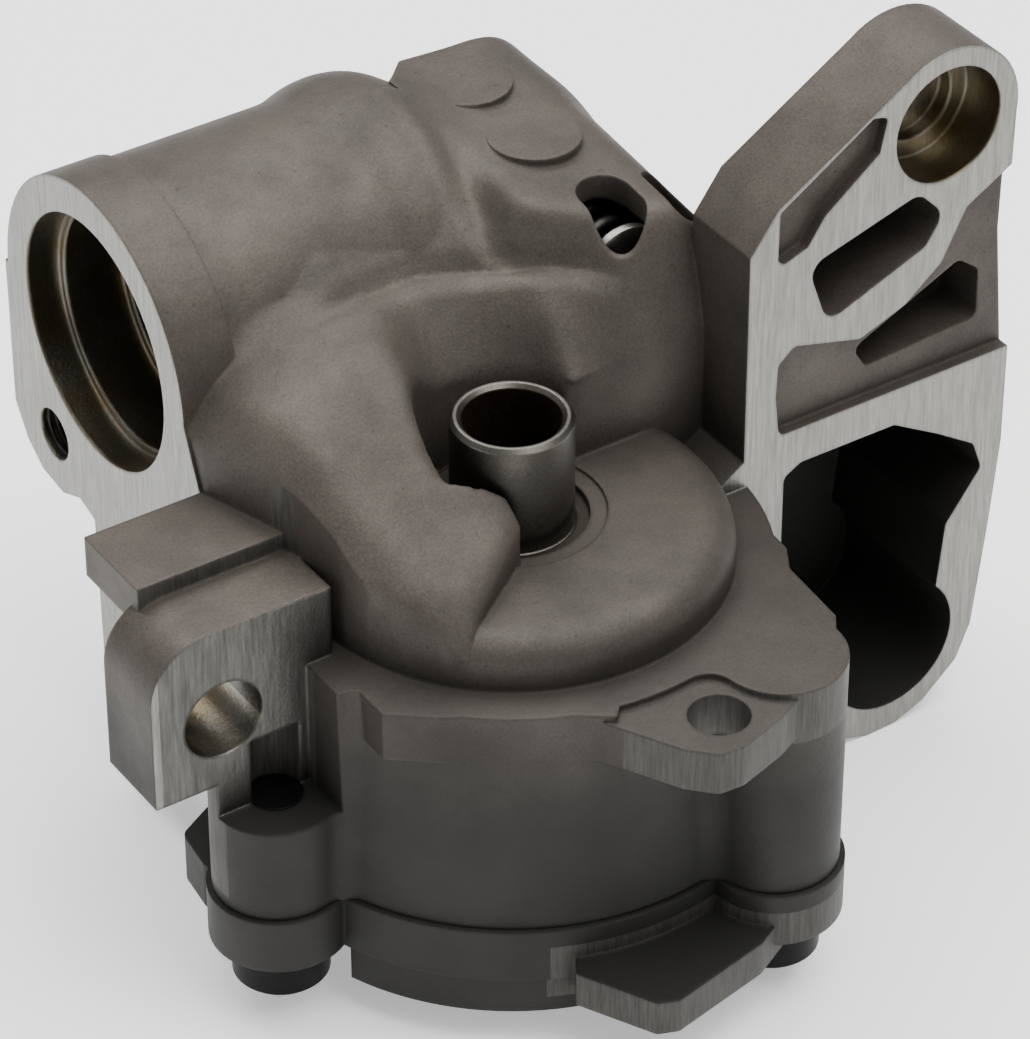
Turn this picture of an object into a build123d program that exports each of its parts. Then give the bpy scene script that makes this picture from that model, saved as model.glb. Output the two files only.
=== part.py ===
from build123d import *
from math import atan2, cos, hypot, pi, radians, sin
import os

os.makedirs("parts", exist_ok=True)

# An internal-gear engine oil pump. Millimetres, +Z up along the drive shaft.
# The origin is on the shaft's axis, in the machined spot face round the shaft.
# The pressure port looks along -X. The bracket's machined face looks along -Y.

# Fits, as clearances on the radius or on one side
running_clearance = 0.05
slip_clearance = 0.03
rotor_side_clearance = 0.05
rotor_rim_clearance = 0.10
tooth_clearance = 0.15
bolt_clearance = 0.4
free_gap = 0.3

# Drive shaft
shaft_r = 9.0
journal_r = 9.2
shaft_bore_r = 7.2
shaft_bore_depth = 33.0
shaft_top_z = 17.0
shaft_chamfer = 0.7

# Rotors
lobe_count = 7
lobe_circle_r = 25.0
lobe_r = 0.3 * lobe_circle_r
eccentricity = 0.112 * lobe_circle_r
rotor_height = 21.0
rotor_wall = 5.0
key_width = 4.0
key_height = 4.0
key_length = 14.0

# Lower body, which holds the rotors
joint_z = -44.0
flat_z = -7.5
body_r = 40.3
body_draft = 3.5
boss_r = 9.6
bolt_reach_out = 3.9
bolt_angles = (187.0, 295.0, 50.0, 106.0)
boss_blend_r = 4.0
plate_thickness = 8.0

# Shelf and bearing boss round the shaft
shelf_r = 32.2
shelf_z = 0.5
shelf_edge_r = 5.0
spot_face_r = 13.8

# Bolts of the cover
bolt_r = 4.0
bolt_head_r = 7.2
bolt_head_height = 8.0
bolt_reach = 16.0
bolt_socket_r = 3.4
bolt_socket_depth = 4.0
bolt_hole_top_z = -17.0
dowel_r = 2.5
dowel_length = 12.0
dowel_wall = 3.5
dowel_angles = (160.0, 340.0)

# Cover
cover_thickness = 9.0
cover_grow = 0.8
pad_drop = 6.5
lower_boss_r = 24.0
lower_boss_drop = 1.5
cover_kidney_depth = 3.0
kidney_depth = 12.0
kidney_inner_r = 13.5
kidney_outer_r = 21.5
kidney_half_angle = 58.0
passage_r = 5.0

# Bearings and retaining ring
bush_wall = 2.0
upper_bush_length = 17.0
lower_bush_length = 8.0
ring_thickness = 1.2
ring_groove_depth = 0.7

# Pressure port
port_x = -39.7
port_y = 49.0
port_z = 16.3
port_outer_r = 24.6
port_collar = 9.5
port_collar_step = 0.8
port_land_y = 75.2
port_bore_steps = ((5.5, 19.8), (15.0, 18.4), (17.5, 16.8), (53.0, 15.0))
port_hole_r = 4.2
port_end_x = 20.0

# Relief valve
valve_x = 28.5
valve_z = 24.0
valve_r = 7.0
valve_wall = 4.8
valve_rear_y = 62.0
valve_front_y = 13.0
plug_length = 8.0
piston_length = 15.0
piston_rest_y = 31.0
piston_wall = 1.6
spring_wire_r = 0.9
round_pads = ((24.6, 49.3, 38.4), (26.1, 33.4, 36.9))
pad_r = 7.0
plug_r = 8.5
plug_socket_depth = 4.5
seal_section = 1.6
piston_cup_depth = 12.0
spring_turns = 6.5
spring_seat_thickness = 1.2

# Bracket with the suction port
face_y = -5.7
bracket_thickness = 14.0
arm_right_x = 85.4
arm_hole_x = 71.5
arm_hole_z = 43.1
arm_hole_r = 9.4
arm_ring_r = 12.6
arm_hole_depth = 8.0
arm_step_r = 6.4
arm_step_depth = 10.5
recess_depth = 2.0
slot_depth = 11.0
slot_corner_r = 2.8
lower_slot_corner_r = 1.5
cavity_depth = 27.0
inlet_centre = (66.3, -49.5)
inlet_r = 11.5

# Block beside the left boss, and the ear
block_hole_x = -51.8
block_hole_z = -11.2
block_hole_r = 6.3
block_corner_r = 9.0
ear_hole = (4.0, -45.7)
ear_hole_r = 4.5

# What follows from the sizes above
rotor_top_z = joint_z + rotor_height + 2 * rotor_side_clearance
chamber_y = -eccentricity
outer_root_r = lobe_circle_r - lobe_r + 2 * eccentricity
outer_rotor_r = outer_root_r + rotor_wall
chamber_r = outer_rotor_r + rotor_rim_clearance
bush_outer_r = journal_r + running_clearance + bush_wall
journal_top_z = -1.0
bolt_circle_r = body_r + bolt_reach_out
dowel_circle_r = chamber_r + dowel_wall + dowel_r
cover_z = joint_z - cover_thickness
pad_z = cover_z - pad_drop
shaft_bottom_z = cover_z - 1.5


def polar(radius, angle):
    return (radius * cos(radians(angle)), radius * sin(radians(angle)))


bolt_points = [polar(bolt_circle_r, angle) for angle in bolt_angles]
dowel_points = [polar(dowel_circle_r, angle) for angle in dowel_angles]


# Tooth form of the inner rotor: the curve that stays one clearance away from
# every lobe of the outer rotor, as the two turn about their own axes
def inner_tooth_point(turn):
    lean = atan2(
        sin((1 - lobe_count) * turn),
        lobe_circle_r / (eccentricity * lobe_count) - cos((1 - lobe_count) * turn),
    )
    reach = lobe_r + tooth_clearance
    x = lobe_circle_r * cos(turn) - reach * cos(turn + lean)
    x = x - eccentricity * cos(lobe_count * turn)
    y = reach * sin(turn + lean) - lobe_circle_r * sin(turn)
    y = y + eccentricity * sin(lobe_count * turn)
    return (-y, x)


points_per_tooth = 20
tooth_steps = points_per_tooth * (lobe_count - 1)
tooth_points = [inner_tooth_point(2 * pi * step / tooth_steps) for step in range(tooth_steps)]

with BuildPart() as inner_rotor:
    with BuildSketch(Plane.XY.offset(joint_z + rotor_side_clearance)):
        with BuildLine():
            Spline(*tooth_points, periodic=True)
        make_face()
        Circle(journal_r + slip_clearance, mode=Mode.SUBTRACT)
        with Locations((0, journal_r)):
            Rectangle(
                key_width + 2 * slip_clearance,
                key_height + 2 * slip_clearance,
                mode=Mode.SUBTRACT,
            )
    extrude(amount=rotor_height)
inner_rotor.part.label = "inner_rotor"
export_step(inner_rotor.part, "parts/inner_rotor.step")

# The outer rotor's opening: its root circle less the round lobes
with BuildSketch() as rotor_opening:
    Circle(outer_root_r)
    with PolarLocations(lobe_circle_r, lobe_count, start_angle=90):
        Circle(lobe_r, mode=Mode.SUBTRACT)

with BuildPart() as outer_rotor:
    with BuildSketch(Plane.XY.offset(joint_z + rotor_side_clearance)):
        with Locations((0, chamber_y)):
            Circle(outer_rotor_r)
            add(rotor_opening.sketch, mode=Mode.SUBTRACT)
    extrude(amount=rotor_height)
outer_rotor.part.label = "outer_rotor"
export_step(outer_rotor.part, "parts/outer_rotor.step")

# Hollow drive shaft with a keyway and a groove for the retaining ring
with BuildPart() as drive_shaft:
    with BuildSketch(Plane.XY.offset(shaft_bottom_z)):
        Circle(shaft_r)
    extrude(amount=shaft_top_z - shaft_bottom_z)
    with BuildSketch(Plane.XY.offset(shaft_bottom_z)):
        Circle(journal_r)
    extrude(amount=journal_top_z - shaft_bottom_z)
    with BuildSketch(Plane.XY.offset(shaft_top_z)):
        Circle(shaft_bore_r)
    extrude(amount=-shaft_bore_depth, mode=Mode.SUBTRACT)
    chamfer(drive_shaft.edges().filter_by(GeomType.CIRCLE).group_by(Axis.Z)[-1], shaft_chamfer)
    with BuildSketch(Plane.XY.offset(joint_z - ring_thickness - 2 * slip_clearance)):
        Circle(journal_r + 1)
        Circle(journal_r - ring_groove_depth, mode=Mode.SUBTRACT)
    extrude(amount=ring_thickness + 2 * slip_clearance, mode=Mode.SUBTRACT)
    with BuildSketch(Plane.XY.offset(joint_z + (rotor_height - key_length) / 2)):
        with Locations((0, journal_r)):
            Rectangle(key_width, key_height)
    extrude(amount=key_length, mode=Mode.SUBTRACT)
drive_shaft.part.label = "drive_shaft"
export_step(drive_shaft.part, "parts/drive_shaft.step")

with BuildPart() as rotor_key:
    with BuildSketch(Plane.XY.offset(joint_z + (rotor_height - key_length) / 2)):
        with Locations((0, journal_r)):
            Rectangle(key_width - 2 * slip_clearance, key_height - 2 * slip_clearance)
    extrude(amount=key_length)
rotor_key.part.label = "rotor_key"
export_step(rotor_key.part, "parts/rotor_key.step")

with BuildPart() as retaining_ring:
    with BuildSketch(Plane.XY.offset(joint_z - ring_thickness - slip_clearance)):
        Circle(journal_r + 1.6)
        Circle(journal_r - ring_groove_depth + slip_clearance, mode=Mode.SUBTRACT)
        with Locations((journal_r, 0)):
            Rectangle(5, 7, mode=Mode.SUBTRACT)
    extrude(amount=ring_thickness)
retaining_ring.part.label = "retaining_ring"
export_step(retaining_ring.part, "parts/retaining_ring.step")

# Plain bearing bushes of the shaft
with BuildPart() as upper_bush:
    with BuildSketch(Plane.XY.offset(journal_top_z)):
        Circle(bush_outer_r)
        Circle(journal_r + running_clearance, mode=Mode.SUBTRACT)
    extrude(amount=-upper_bush_length)
upper_bush.part.label = "upper_bush"
export_step(upper_bush.part, "parts/upper_bush.step")

lower_bush_top_z = joint_z - 2.0
with BuildPart() as lower_bush:
    with BuildSketch(Plane.XY.offset(lower_bush_top_z)):
        Circle(bush_outer_r)
        Circle(journal_r + running_clearance, mode=Mode.SUBTRACT)
    extrude(amount=-lower_bush_length)
lower_bush.part.label = "lower_bush"
export_step(lower_bush.part, "parts/lower_bush.step")

# Upper mass of the casting. Its top is one smooth surface whose height is worked
# out over a grid in plan. The volute leads the oil from the nose beside the shaft
# up to the pressure port, and meets the flat ridge over the relief valve in a fold.
recess_r = 14.0
back_wall_y = 5.0
ridge_right_x = 41.5
ridge_left_x = 13.0
barrel_sink = 0.4
grid_step = 1.5
soften = 1.0

# Height of the volute along Y, and how far it may rise beside its left edge
volute_rise = (
    (-32.0, -6.0),
    (-25.0, 0.0),
    (-18.0, 5.0),
    (-10.0, 9.0),
    (-2.0, 15.5),
    (5.0, 21.0),
    (12.0, 24.5),
    (20.0, 26.5),
    (28.0, 28.0),
    (60.0, 31.0),
)
left_rise = ((-45.0, 8.0), (-39.7, 16.0), (-35.0, 20.5), (-29.0, 25.0), (-20.0, 32.0), (45.0, 60.0))
# Fold between the volute and the ridge: its Y and its height along X
fold_line = (
    (-45.0, 24.0, 28.0),
    (-24.0, 22.0, 27.5),
    (-10.8, 24.0, 27.6),
    (0.0, 24.6, 27.2),
    (9.5, 20.0, 27.2),
    (16.0, 16.0, 27.6),
    (21.4, 12.0, 27.0),
    (27.7, 8.5, 24.3),
    (36.5, 6.5, 19.7),
    (45.0, 6.0, 18.0),
)
fold_y = [(x, y) for x, y, z in fold_line]
fold_z = [(x, z) for x, y, z in fold_line]
# Height of the wall behind the shaft, where it turns back towards the fold
wall_z = ((-45.0, 20.0), (-14.0, 19.0), (-8.0, 16.5), (0.0, 15.0), (10.0, 14.5), (45.0, 14.5))
# Radius of the port's barrel along X, with the wider junction at its end
barrel_r = (
    (-50.0, 24.6),
    (-6.0, 24.6),
    (-1.0, 24.8),
    (3.0, 25.9),
    (7.0, 26.2),
    (11.0, 25.4),
    (15.0, 23.0),
    (19.0, 20.0),
    (60.0, 10.0),
)


def along(table, value):
    """Smooth curve through a table of (place, amount) pairs."""
    places = [place for place, amount in table]
    index = max(i for i in range(len(table) - 1) if i == 0 or places[i] <= value)
    low = max(index - 1, 0)
    high = min(index + 2, len(table) - 1)
    x0, y0 = table[index]
    x1, y1 = table[index + 1]
    start = (y1 - table[low][1]) / (x1 - places[low])
    end = (table[high][1] - y0) / (places[high] - x0)
    t = min(max((value - x0) / (x1 - x0), 0.0), 1.0)
    hump = (x1 - x0) * t * (1 - t)
    return y0 + (y1 - y0) * t * t * (3 - 2 * t) + hump * ((1 - t) * start - t * end)


def highest(first, second, round_off):
    """The larger of two heights, with the fold between them rounded."""
    gap = max(round_off - abs(first - second), 0.0) / round_off
    return max(first, second) + gap * gap * round_off / 4


def lowest(first, second, round_off):
    return -highest(-first, -second, round_off)


def share(low, high, value):
    t = min(max((value - low) / (high - low), 0.0), 1.0)
    return t * t * (3 - 2 * t)


def mass_height(x, y):
    volute = lowest(along(volute_rise, y), along(left_rise, x), 8.0)
    # The volute's outer edge is rounded, and so is the nose's front edge
    from_edge = shelf_r - hypot(x, y)
    if y > -4:
        from_edge = x + 31.9 + 0.315 * (y + 4)
    volute = volute - 0.09 * max(6.0 - from_edge, 0.0) ** 2
    from_nose = 0.577 * (x + 5.6) * -1 + 0.817 * (y + 10.9)
    volute = volute - 0.12 * max(3.0 - max(from_nose, -2.0), 0.0) ** 2
    # Between the wall behind the shaft and the fold the surface leans back
    wall_y = back_wall_y if x > 13 else max(recess_r**2 - x * x, 0.0) ** 0.5
    fold = along(fold_y, x)
    t = min(max((y - wall_y) / (fold - wall_y), -0.5), 1.3)
    lean = 1 - max(1 - t, 0.0) ** 1.3
    back_slope = along(wall_z, x) + (along(fold_z, x) - along(wall_z, x)) * lean
    side = share(-15.0, -3.0, x) * share(-4.0, 6.0, y)
    front = side * back_slope + (1 - side) * volute
    # The barrel of the port, and the ridge over the relief valve
    reach = along(barrel_r, x) - barrel_sink * (1 - 2 * share(5.0, 10.0, x))
    barrel = port_z - 30.0
    if abs(y - port_y) < reach:
        barrel = port_z + (reach**2 - (y - port_y) ** 2) ** 0.5
    ridge = 34.2 + 0.1 * (y - 15.0)
    ridge = ridge + 0.05 * max(28.0 - x, 0.0) - 0.25 * max(17.0 - x, 0.0) ** 2
    ridge = ridge - 0.00022 * max(x - 28.0, 0.0) ** 4
    ridge = ridge - 0.35 * max(fold + 5.5 - y, 0.0) ** 2
    ridge = ridge - 0.3 * max(y + 4.0 - valve_rear_y, 0.0) ** 2
    # Behind the fold the casting rises to the barrel, less so towards the left
    behind = min(max(y - fold, 0.0), 12.0)
    shoulder = along(fold_z, x) - 0.8 + behind - 0.025 * behind**2
    shoulder = shoulder - 3.0 * max(fold - y, 0.0) - 14.0 * (1 - share(-36.0, -12.0, x))
    rear = highest(barrel, max(ridge, -10.0), 6.0)
    if x < 16.0:
        rear = highest(rear, shoulder - 6.0 * share(9.0, 16.0, x), 1.2)
    return highest(rear, front, 1.0 + 6.0 * share(-14.0, -30.0, x))


def soft_height(x, y):
    """Mean height over nine places, which rounds the folds as sand casting does."""
    steps = (-soften, 0.0, soften)
    return sum(mass_height(x + dx, y + dy) for dx in steps for dy in steps) / 9


field_rows = [
    [(-45.0 + grid_step * i, -32.0 + grid_step * j) for i in range(61)]
    for j in range(66)
]
field_points = [[(x, y, soft_height(x, y)) for x, y in row] for row in field_rows]
top_surface = Face.make_surface_from_array_of_points(field_points, tol=0.1, min_deg=3, max_deg=3)

with BuildPart() as upper_mass:
    with BuildSketch(Plane.XY.offset(flat_z)):
        with BuildLine():
            nose = Polyline(
                (-22.6, -22.9),
                (-5.6, -10.9),
                (-6.2, -7.7),
                (-9.2, -5.6),
                (-13.4, -4.0),
            )
            near = ThreePointArc(nose @ 1, (-13.8, 2.4), polar(recess_r, 145))
            rear = ThreePointArc(near @ 1, polar(recess_r, 85), (13.0, back_wall_y))
            sides = Polyline(
                rear @ 1,
                (ridge_right_x, back_wall_y),
                (ridge_right_x, valve_rear_y),
                (ridge_left_x + 9.0, valve_rear_y),
                (ridge_left_x, port_y + 3.0),
                (ridge_left_x, port_y),
                (port_x + 0.5, port_y),
                (port_x + 0.5, 19.0),
                (-36.0, 9.0),
                (-31.9, -4.0),
            )
            ThreePointArc(sides @ 1, (-28.8, -14.4), nose @ 0)
        make_face()
    extrude(amount=60)
    with BuildPart(mode=Mode.INTERSECT):
        extrude(to_extrude=top_surface, amount=60, dir=(0, 0, -1))

# Outside of the pressure port's barrel, turned about the port's axis
barrel_steps = [port_x + port_collar + 2.0 * i for i in range(25)]
with BuildPart() as port_barrel:
    with BuildSketch(Plane.XY.offset(port_z)):
        with BuildLine():
            outline = Spline(*[(x, port_y + along(barrel_r, x)) for x in barrel_steps])
            Polyline(
                outline @ 1,
                ((outline @ 1).X, port_y),
                (port_x, port_y),
                (port_x, port_y + port_outer_r),
                outline @ 0,
            )
        make_face()
    revolve(axis=Axis((0, port_y, port_z), (1, 0, 0)))

# Lower body with the bosses of the cover bolts, and rounded hollows between them
with BuildPart() as lower_body:
    with BuildSketch(Plane.XY.offset(joint_z)):
        Circle(body_r)
    extrude(amount=flat_z - joint_z, taper=body_draft)
    with BuildSketch(Plane.XY.offset(joint_z)):
        with Locations(*bolt_points):
            Circle(boss_r)
    extrude(amount=flat_z - joint_z)
    hollows = lower_body.edges().filter_by(lambda edge: abs(edge.center().Z - joint_z - 18) < 3)
    hollows = hollows.filter_by(
        lambda edge: hypot(edge.center().X, edge.center().Y) < body_r + boss_blend_r
    )
    fillet(hollows, boss_blend_r)
    with BuildSketch(Plane.XY.offset(joint_z)):
        with BuildLine():
            Polyline(
                (30.0, 0),
                (36.6, -6.0),
                (34.4, -12.2),
                (33.6, -20.9),
                (31.1, -25.1),
                (30.0, -37.6),
                (26.5, -42.6),
                (15.0, -40.0),
                (15.0, 0),
                close=True,
            )
        make_face()
    extrude(amount=flat_z - joint_z)

# Kidney port on the suction side, between two radii and two rays
with BuildSketch() as kidney:
    Circle(kidney_outer_r)
    Circle(kidney_inner_r, mode=Mode.SUBTRACT)
    with BuildLine():
        Polyline(
            (0, 0),
            polar(2 * kidney_outer_r, kidney_half_angle),
            polar(2 * kidney_outer_r, -kidney_half_angle),
            close=True,
        )
    make_face(mode=Mode.INTERSECT)
kidney_section = kidney.sketch

face_plane = Plane(origin=(0, face_y, 0), x_dir=(1, 0, 0), z_dir=(0, -1, 0))

with BuildPart() as pump_housing:
    add(lower_body.part)
    # Top plate with its trimmed corner, and the bored ear
    with BuildSketch(Plane.XY.offset(flat_z)):
        with BuildLine():
            Polyline(
                (-35.3, 0),
                (-35.3, -20.9),
                (-29.5, -25.6),
                (-15.0, -34.5),
                (-8.7, -39.2),
                (0, -30),
                (0, 0),
                close=True,
            )
        make_face()
    extrude(amount=-plate_thickness)
    with BuildSketch(Plane.XY.offset(flat_z - 1.0)) as ear:
        with BuildLine():
            Polyline(
                (-11.0, -36.8),
                (-4.4, -49.2),
                (-0.9, -52.9),
                (3.0, -53.2),
                (11.2, -50.8),
                (20.4, -46.6),
                (18.0, -36.0),
                (0, -30),
                close=True,
            )
        make_face()
        fillet(ear.vertices().filter_by(lambda corner: corner.Y < -46), 1.5)
    extrude(amount=-plate_thickness + 1.0)
    # Shelf round the shaft
    with BuildSketch(Plane.XY.offset(flat_z)):
        Circle(shelf_r)
    extrude(amount=shelf_z - flat_z)
    shelf_edge = pump_housing.edges().filter_by(GeomType.CIRCLE).group_by(Axis.Z)[-1]
    fillet(shelf_edge, shelf_edge_r)
    with BuildSketch(Plane.XY.offset(shelf_z)):
        Circle(spot_face_r)
    extrude(amount=-shelf_z, mode=Mode.SUBTRACT)
    add(upper_mass.part)
    # Pressure port: a collar, the barrel behind it and the wider junction
    with BuildSketch(Plane.YZ.offset(port_x)):
        with Locations((port_y, port_z)):
            Circle(port_outer_r + port_collar_step)
    extrude(amount=port_collar)
    add(port_barrel.part)
    # Machined land under the port, and the foot that carries it on downwards
    with BuildSketch(Plane.YZ.offset(port_x)) as land:
        with BuildLine():
            Polyline(
                (port_land_y, port_z),
                (port_land_y, -9.0),
                (72.0, -14.2),
                (67.6, -17.4),
                (61.6, -18.2),
                (56.4, -16.0),
                (52.1, -17.4),
                (51.5, -56.0),
                (32.0, -56.0),
                (32.0, joint_z + 1),
                (24.0, joint_z + 1),
                (24.0, -20.0),
                (19.2, -20.0),
                (19.4, 6.0),
                (23.6, port_z),
                close=True,
            )
        make_face()
    extrude(amount=port_collar)
    # Two low round pads on the ridge
    for pad_x, pad_y, pad_top_z in round_pads:
        with BuildSketch(Plane.XY.offset(pad_top_z)):
            with Locations((pad_x, pad_y)):
                Circle(pad_r)
        extrude(amount=valve_z - pad_top_z)
    # Bracket: the arm, its ring, and the deep box of the suction port
    with BuildSketch(face_plane) as bracket:
        with BuildLine():
            Polyline(
                (36.8, 32.8),
                (41.5, 39.3),
                (65.6, 54.2),
                (71.5, 50.0),
                (84.0, 43.0),
                (83.6, 20.0),
                (arm_right_x, -0.8),
                (arm_right_x, -18.0),
                (84.0, -33.0),
                (81.8, -51.6),
                (79.3, -57.7),
                (73.1, -63.2),
                (67.8, -65.3),
                (62.5, -65.6),
                (57.2, -63.9),
                (42.5, -54.0),
                (42.5, joint_z + 1),
                (30.0, joint_z + 1),
                (30.0, -7.5),
                (36.8, -7.5),
                close=True,
            )
        make_face()
        with Locations((arm_hole_x, arm_hole_z)):
            Circle(arm_ring_r)
    extrude(amount=-bracket_thickness)
    with BuildSketch(face_plane):
        with BuildLine():
            Polyline(
                (38.0, -2.0),
                (arm_right_x, -2.0),
                (arm_right_x, -18.0),
                (84.0, -33.0),
                (81.8, -51.6),
                (79.3, -57.7),
                (73.1, -63.2),
                (67.8, -65.3),
                (62.5, -65.6),
                (57.2, -63.9),
                (42.5, -54.0),
                (42.5, joint_z + 1),
                (30.0, joint_z + 1),
                (30.0, flat_z),
                close=True,
            )
        make_face()
    extrude(amount=-cavity_depth - 4.0)
    # Block beside the left boss, with its upper step
    with BuildSketch(face_plane) as block:
        with BuildLine():
            Polyline(
                (-63.2, 4.4),
                (-63.2, -22.5),
                (-34.0, -22.5),
                (-34.0, 4.4),
                close=True,
            )
        make_face()
        fillet(block.vertices().group_by(Axis.X)[0].sort_by(Axis.Z)[0], block_corner_r)
    extrude(amount=-13.0)
    with BuildSketch(Plane.XZ.offset(-5.3)):
        with BuildLine():
            Polyline((-58.4, 7.2), (-58.4, 0.5), (-33.0, 0.5), (-33.0, 7.2), close=True)
        make_face()
    extrude(amount=-14.7)
    # Machined pocket in front of the left boss
    with BuildSketch(Plane.XY.offset(-28.2)) as pocket:
        with Locations((-45.85, face_y - 8)):
            Rectangle(15.3, 16)
    extrude(amount=40, mode=Mode.SUBTRACT)
    # Rotor chamber, bearing bore and the two kidney ports in the chamber's roof
    with BuildSketch(Plane.XY.offset(joint_z)):
        with Locations((0, chamber_y)):
            Circle(chamber_r)
    extrude(amount=rotor_top_z - joint_z, mode=Mode.SUBTRACT)
    with BuildSketch(Plane.XY.offset(rotor_top_z)):
        Circle(bush_outer_r)
    extrude(amount=-rotor_top_z, mode=Mode.SUBTRACT)
    with BuildSketch(Plane.XY.offset(rotor_top_z)):
        add(kidney_section)
        add(kidney_section.mirror(Plane.YZ))
    extrude(amount=kidney_depth, mode=Mode.SUBTRACT)
    # Suction passage from the bracket's cavity, pressure passage to the port
    with BuildSketch(Plane.YZ.offset(16.0)):
        with Locations((4.0, rotor_top_z + kidney_depth - 3.5)):
            RectangleRounded(13.0, 7.0, 3.0)
    extrude(amount=34.0, mode=Mode.SUBTRACT)
    with BuildSketch(Plane.XY.offset(rotor_top_z + kidney_depth - 1)):
        with Locations((-21.0, 0)):
            Circle(passage_r)
    extrude(amount=17.0, mode=Mode.SUBTRACT)
    with BuildSketch(Plane.XZ):
        with Locations((-21.0, 2.5)):
            Circle(passage_r)
    extrude(amount=-port_y + 12.0, mode=Mode.SUBTRACT)
    # Stepped bore of the pressure port and the threaded hole beside it
    for step_depth, step_r in port_bore_steps:
        with BuildSketch(Plane.YZ.offset(port_x)):
            with Locations((port_y, port_z)):
                Circle(step_r)
        extrude(amount=step_depth, mode=Mode.SUBTRACT)
    with BuildSketch(Plane.YZ.offset(port_x)):
        with Locations((63.2, -8.4)):
            Circle(port_hole_r)
    extrude(amount=port_collar + 1, mode=Mode.SUBTRACT)
    # Valve bore, its feed from the port and its spill hole on the far side
    with BuildSketch(Plane.XZ.offset(-valve_rear_y)):
        with Locations((valve_x, valve_z)):
            Circle(valve_r)
    extrude(amount=valve_rear_y - valve_front_y, mode=Mode.SUBTRACT)
    with BuildSketch(Plane.XZ.offset(-valve_rear_y)):
        with Locations((valve_x, valve_z)):
            Circle(plug_r)
    extrude(amount=plug_length + slip_clearance, mode=Mode.SUBTRACT)
    with BuildSketch(Plane.YZ.offset(port_end_x - 10)):
        with Locations((port_y - 1.5, valve_z)):
            Circle(1.5)
    extrude(amount=valve_x - port_end_x + 8, mode=Mode.SUBTRACT)
    with BuildSketch(Plane.YZ.offset(valve_x)):
        with Locations((piston_rest_y + 10.0, valve_z)):
            Circle(2.5)
    extrude(amount=valve_r + valve_wall + 2, mode=Mode.SUBTRACT)
    # Vent slots over the spring
    with BuildSketch(Plane.XY.offset(valve_z)):
        with Locations((27.9, 16.2)):
            SlotOverall(11.6, 8.6, rotation=90)
        with Locations((37.6, 15.6)):
            SlotOverall(11.0, 4.4, rotation=90)
    extrude(amount=20, mode=Mode.SUBTRACT)
    # Suction cavity in the bracket, its round inner part, and the shallow
    # recesses and slots of the arm
    with BuildSketch(face_plane) as cavity:
        with BuildLine():
            Polyline(
                (44.2, -8.6),
                (47.3, -6.9),
                (64.5, -7.0),
                (73.0, -12.0),
                (80.0, -16.6),
                (81.8, -21.6),
                (75.6, -30.0),
                (74.4, -42.0),
                (66.3, -50.0),
                (56.0, -57.0),
                (44.2, -47.0),
                close=True,
            )
        make_face()
        fillet(cavity.vertices(), 1.5)
        with Locations(inlet_centre):
            Circle(inlet_r)
    extrude(amount=-cavity_depth, mode=Mode.SUBTRACT)
    with BuildSketch(face_plane) as upper_recess:
        with BuildLine():
            Polyline(
                (57.8, 48.9),
                (41.8, 38.6),
                (41.7, 30.5),
                (42.9, 29.6),
                (46.9, 31.0),
                (49.8, 35.3),
                (59.2, 42.6),
                (60.4, 48.2),
                close=True,
            )
        make_face()
        fillet(upper_recess.vertices(), 0.9)
    extrude(amount=-recess_depth, mode=Mode.SUBTRACT)
    with BuildSketch(face_plane) as lower_recess:
        with BuildLine():
            Polyline(
                (42.4, 12.2),
                (42.2, 6.5),
                (43.0, -0.6),
                (arm_right_x + 4.6, -0.6),
                (arm_right_x + 4.6, 36.0),
                (83.5, 32.0),
                (75.8, 27.6),
                (71.6, 19.4),
                (65.3, 14.3),
                (57.2, 11.3),
                (45.2, 14.6),
                close=True,
            )
        make_face()
        fillet(lower_recess.vertices(), 1.5)
    extrude(amount=-recess_depth, mode=Mode.SUBTRACT)
    with BuildSketch(face_plane) as slots:
        with BuildLine():
            Polyline(
                (47.2, 27.4),
                (66.8, 33.0),
                (71.6, 28.0),
                (68.4, 23.2),
                (51.0, 16.4),
                close=True,
            )
        make_face()
        fillet(slots.vertices(), slot_corner_r)
    extrude(amount=-slot_depth, mode=Mode.SUBTRACT)
    with BuildSketch(face_plane) as lower_slot:
        with BuildLine():
            Polyline(
                (57.5, 8.2),
                (76.5, 17.0),
                (80.4, 14.0),
                (80.6, 5.2),
                (60.0, 4.2),
                close=True,
            )
        make_face()
        fillet(lower_slot.vertices(), lower_slot_corner_r)
    extrude(amount=-slot_depth, mode=Mode.SUBTRACT)
    # Bores for the fixings
    with BuildSketch(face_plane):
        with Locations((arm_hole_x, arm_hole_z)):
            Circle(arm_hole_r)
    extrude(amount=-arm_hole_depth, mode=Mode.SUBTRACT)
    with BuildSketch(face_plane):
        with Locations((arm_hole_x, arm_hole_z)):
            Circle(arm_step_r)
    extrude(amount=-arm_step_depth, mode=Mode.SUBTRACT)
    with BuildSketch(face_plane):
        with Locations((block_hole_x, block_hole_z)):
            Circle(block_hole_r)
    extrude(amount=-13.0, mode=Mode.SUBTRACT)
    with BuildSketch(Plane.XY.offset(flat_z)):
        with Locations(ear_hole):
            Circle(ear_hole_r)
    extrude(amount=-plate_thickness - 1, mode=Mode.SUBTRACT)
    with BuildSketch(Plane.XY.offset(joint_z)):
        with Locations(*bolt_points):
            Circle(bolt_r + slip_clearance)
    extrude(amount=bolt_hole_top_z - joint_z, mode=Mode.SUBTRACT)
    with BuildSketch(Plane.XY.offset(joint_z)):
        with Locations(*dowel_points):
            Circle(dowel_r + slip_clearance)
    extrude(amount=dowel_length / 2, mode=Mode.SUBTRACT)
pump_housing.part.label = "pump_housing"
export_step(pump_housing.part, "parts/pump_housing.step")

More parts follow.
